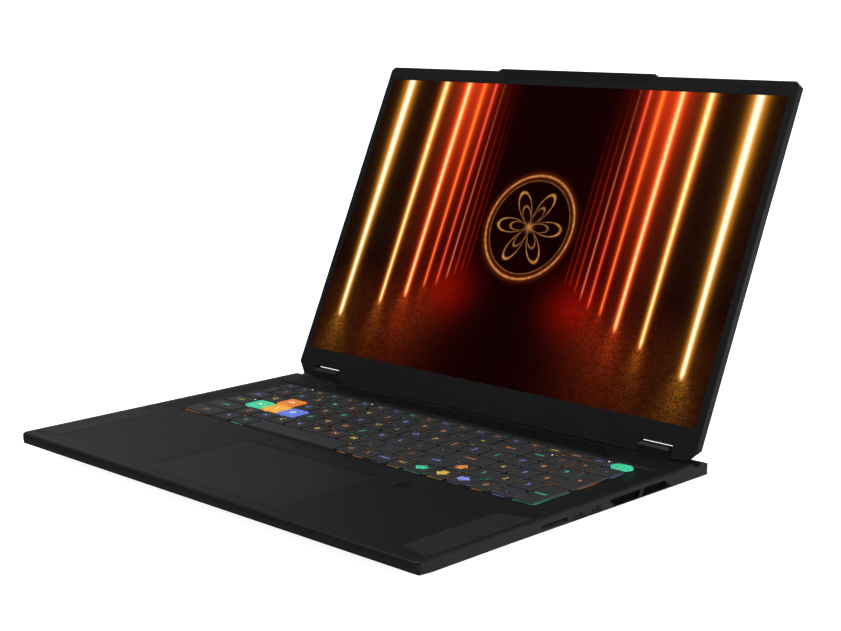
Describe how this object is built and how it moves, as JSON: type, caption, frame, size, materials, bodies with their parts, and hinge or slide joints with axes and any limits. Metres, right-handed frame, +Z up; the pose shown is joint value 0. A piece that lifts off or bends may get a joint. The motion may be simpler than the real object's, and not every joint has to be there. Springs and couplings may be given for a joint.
{
  "type": "laptop computer",
  "caption": "Open thin laptop with a wide screen in a hinged lid, full keyboard with number pad in a shallow bay, touchpad, side ports and vents.",
  "frame": {"origin": "middle of the whole open machine's box, at desk height", "axes": "+X to the right as the user sees it, +Y to the back, +Z up"},
  "size_m": [0.3996, 0.3894, 0.2718],
  "materials": {
    "case_metal": "dark anodised satin",
    "cover_metal": "dark painted satin",
    "lid_metal": "dark anodised satin",
    "dark_plastic": "fine matt grain",
    "key_plastic": "satin, lit legends",
    "key_orange": "translucent, lit",
    "key_green": "translucent, lit",
    "key_yellow": "translucent, lit",
    "key_blue": "translucent, lit",
    "power_green": "translucent, lit",
    "glass_black": "gloss black",
    "screen": "lit picture under a satin film",
    "panel_metal": "display module",
    "rubber": "matt",
    "board_green": "circuit board",
    "copper": "satin copper",
    "fin_metal": "bare",
    "steel": "bare",
    "dark_steel": "black oxide",
    "battery_black": "wrapped cells",
    "port_steel": "satin",
    "light_guide": "clear sheet",
    "membrane": "translucent sheet",
    "touch_surface": "satin dark",
    "speaker_plastic": "box"
  },
  "bodies": {
    "base": {"top_case": "case_metal", "bottom_cover": "cover_metal", "bottom_screws": "dark_steel", "rubber_feet": "rubber", "keyboard_frame": "dark_plastic", "keyboard_membrane": "membrane", "keyboard_light_guide": "light_guide", "keyboard_backplate": "steel", "touchpad_bracket": "steel", "fingerprint_sensor": "glass_black", "speaker_grilles": "case_metal", "speaker_modules": "speaker_plastic", "rear_vent_grille": "dark_plastic", "rear_exhaust_grille": "dark_plastic", "hinge_covers": "case_metal", "hinge_brackets": "steel", "usb_c_ports": "port_steel", "card_reader": "port_steel", "usb_a_ports": "port_steel", "video_port": "port_steel", "audio_jack": "dark_plastic", "power_inlet": "dark_plastic", "mainboard": "board_green", "vapour_chamber": "copper", "fin_stacks": "fin_metal", "memory_modules": "board_green", "storage_cards": "board_green", "battery_pack": "battery_black", "fan_housing_left": "dark_plastic", "fan_housing_right": "dark_plastic"},
    "lid": {"lid_back_cover": "lid_metal", "display_bezel": "dark_plastic", "lcd_panel": "panel_metal", "display_surface": "screen", "camera_window": "glass_black", "camera_lenses": "glass_black", "camera_module": "board_green", "lid_bumpers": "rubber", "antenna_strips": "board_green", "hinge_arms": "steel", "hinge_shafts": "steel"},
    "modifier_keys": {"modifier_keys": "key_plastic"},
    "space_bar": {"space_bar": "key_plastic"},
    "arrow_left_key": {"arrow_left_key": "key_plastic"},
    "arrow_down_key": {"arrow_down_key": "key_plastic"},
    "arrow_right_key": {"arrow_right_key": "key_plastic"},
    "arrow_up_key": {"arrow_up_key": "key_plastic"},
    "numpad_keys": {"numpad_keys": "key_plastic"},
    "letter_keys": {"letter_keys": "key_plastic"},
    "number_keys": {"number_keys": "key_plastic"},
    "function_keys": {"function_keys": "key_plastic"},
    "key_w": {"key_w": "key_orange"},
    "key_a": {"key_a": "key_green"},
    "key_s": {"key_s": "key_yellow"},
    "key_d": {"key_d": "key_blue"},
    "power_button": {"power_button": "power_green"},
    "touchpad": {"touchpad": "touch_surface"},
    "fan_rotor_left": {"fan_rotor_left": "dark_plastic"},
    "fan_rotor_right": {"fan_rotor_right": "dark_plastic"}
  },
  "joints": [
    {"name": "lid_hinge", "type": "hinge", "parent": "base", "child": "lid", "pos_m": [0, 0.07706, 0.0216], "axis": [1, 0, 0], "range_deg": [-25, 114.84]},
    {"name": "modifier_keys_press", "type": "slide", "parent": "base", "child": "modifier_keys", "axis": [0, 0, -1], "range_m": [0, 0.0015], "stiffness_N_per_m": 6750},
    {"name": "space_bar_press", "type": "slide", "parent": "base", "child": "space_bar", "axis": [0, 0, -1], "range_m": [0, 0.0015], "stiffness_N_per_m": 700},
    {"name": "numpad_keys_press", "type": "slide", "parent": "base", "child": "numpad_keys", "axis": [0, 0, -1], "range_m": [0, 0.0015], "stiffness_N_per_m": 7650},
    {"name": "letter_keys_press", "type": "slide", "parent": "base", "child": "letter_keys", "axis": [0, 0, -1], "range_m": [0, 0.0015], "stiffness_N_per_m": 13050},
    {"name": "number_keys_press", "type": "slide", "parent": "base", "child": "number_keys", "axis": [0, 0, -1], "range_m": [0, 0.0015], "stiffness_N_per_m": 5400},
    {"name": "function_keys_press", "type": "slide", "parent": "base", "child": "function_keys", "axis": [0, 0, -1], "range_m": [0, 0.0015], "stiffness_N_per_m": 8550},
    {"name": "arrow_left_key_press", "type": "slide", "parent": "base", "child": "arrow_left_key", "axis": [0, 0, -1], "range_m": [0, 0.0015], "stiffness_N_per_m": 450},
    {"name": "arrow_down_key_press", "type": "slide", "parent": "base", "child": "arrow_down_key", "axis": [0, 0, -1], "range_m": [0, 0.0015], "stiffness_N_per_m": 450},
    {"name": "arrow_right_key_press", "type": "slide", "parent": "base", "child": "arrow_right_key", "axis": [0, 0, -1], "range_m": [0, 0.0015], "stiffness_N_per_m": 450},
    {"name": "arrow_up_key_press", "type": "slide", "parent": "base", "child": "arrow_up_key", "axis": [0, 0, -1], "range_m": [0, 0.0015], "stiffness_N_per_m": 450},
    {"name": "key_w_press", "type": "slide", "parent": "base", "child": "key_w", "axis": [0, 0, -1], "range_m": [0, 0.0015], "stiffness_N_per_m": 450},
    {"name": "key_a_press", "type": "slide", "parent": "base", "child": "key_a", "axis": [0, 0, -1], "range_m": [0, 0.0015], "stiffness_N_per_m": 450},
    {"name": "key_s_press", "type": "slide", "parent": "base", "child": "key_s", "axis": [0, 0, -1], "range_m": [0, 0.0015], "stiffness_N_per_m": 450},
    {"name": "key_d_press", "type": "slide", "parent": "base", "child": "key_d", "axis": [0, 0, -1], "range_m": [0, 0.0015], "stiffness_N_per_m": 450},
    {"name": "power_button_press", "type": "slide", "parent": "base", "child": "power_button", "axis": [0, 0, -1], "range_m": [0, 0.0008], "stiffness_N_per_m": 1200},
    {"name": "touchpad_click", "type": "hinge", "parent": "base", "child": "touchpad", "pos_m": [0.0012, -0.09494, 0.0175], "axis": [1, 0, 0], "range_deg": [0, 0.3], "stiffness_Nm_per_rad": 40},
    {"name": "fan_left_spin", "type": "hinge", "parent": "base", "child": "fan_rotor_left", "pos_m": [-0.153, 0.01426, 0.0082], "axis": [0, 0, 1], "continuous": true},
    {"name": "fan_right_spin", "type": "hinge", "parent": "base", "child": "fan_rotor_right", "pos_m": [0.153, 0.01426, 0.0082], "axis": [0, 0, 1], "continuous": true}
  ]
}
